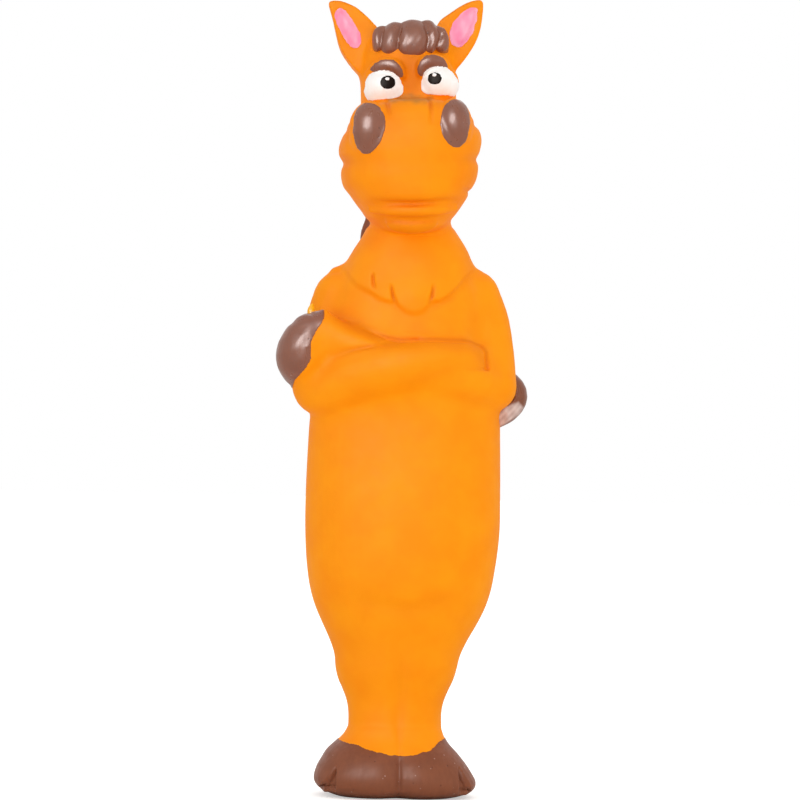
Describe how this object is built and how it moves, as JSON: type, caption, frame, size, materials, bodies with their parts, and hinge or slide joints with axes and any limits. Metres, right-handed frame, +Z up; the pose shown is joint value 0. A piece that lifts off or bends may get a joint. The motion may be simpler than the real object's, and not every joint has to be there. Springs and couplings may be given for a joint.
{
  "type": "squeaky dog toy",
  "caption": "Long upright latex horse toy for dogs, arms crossed on the chest, fibre filled, with a bellows squeaker behind a soft belly wall.",
  "frame": {"origin": "on the ground under the middle of the toy's outline seen from above", "axes": "+Z up through the head; the horse faces -Y, and its left side is at +X"},
  "size_m": [0.0604, 0.0487, 0.1907],
  "materials": {
    "natural_latex": "matte",
    "brown_latex_paint": "satin",
    "white_latex_paint": "satin",
    "black_latex_paint": "satin",
    "pink_latex_paint": "satin",
    "polyester_fibre": "matte",
    "squeaker_plastic": "satin",
    "reed_film": "satin"
  },
  "bodies": {
    "toy": {"torso_skin": "natural_latex", "left_leg": "natural_latex", "right_leg": "natural_latex", "left_hoof": "brown_latex_paint", "right_hoof": "brown_latex_paint", "sole_patch": "natural_latex", "neck_ruff": "natural_latex", "left_arm": "natural_latex", "left_wrist": "natural_latex", "right_arm": "natural_latex", "left_hand_hoof": "brown_latex_paint", "right_hand_hoof": "brown_latex_paint", "head_skin": "natural_latex", "left_ear": "natural_latex", "right_ear": "natural_latex", "left_ear_lining": "pink_latex_paint", "right_ear_lining": "pink_latex_paint", "left_eye_white": "white_latex_paint", "right_eye_white": "white_latex_paint", "left_pupil": "black_latex_paint", "right_pupil": "black_latex_paint", "left_brow": "brown_latex_paint", "right_brow": "brown_latex_paint", "left_nostril": "brown_latex_paint", "right_nostril": "brown_latex_paint", "forelock": "brown_latex_paint", "mane": "brown_latex_paint", "tail": "brown_latex_paint", "head_filling": "polyester_fibre", "body_filling": "polyester_fibre", "squeeze_wadding": "polyester_fibre", "leg_filling": "polyester_fibre", "squeaker_bellows": "squeaker_plastic", "squeaker_base": "squeaker_plastic", "reed_sleeve": "squeaker_plastic", "tone_board": "squeaker_plastic", "reed_wedge": "squeaker_plastic"},
    "belly": {"belly_skin": "natural_latex", "belly_pad": "polyester_fibre", "squeaker_face": "squeaker_plastic"},
    "reed": {"reed": "reed_film"}
  },
  "joints": [
    {"name": "belly_squeeze", "type": "slide", "parent": "toy", "child": "belly", "axis": [0, 1, 0], "range_m": [0, 0.006], "stiffness_N_per_m": 1500, "deforming": ["squeaker_bellows", "squeeze_wadding"]},
    {"name": "reed_flex", "type": "hinge", "parent": "toy", "child": "reed", "pos_m": [0.00122, 0.01076, 0.06943], "axis": [1, 0, 0], "range_deg": [-2, 2], "stiffness_Nm_per_rad": 0.0006}
  ]
}
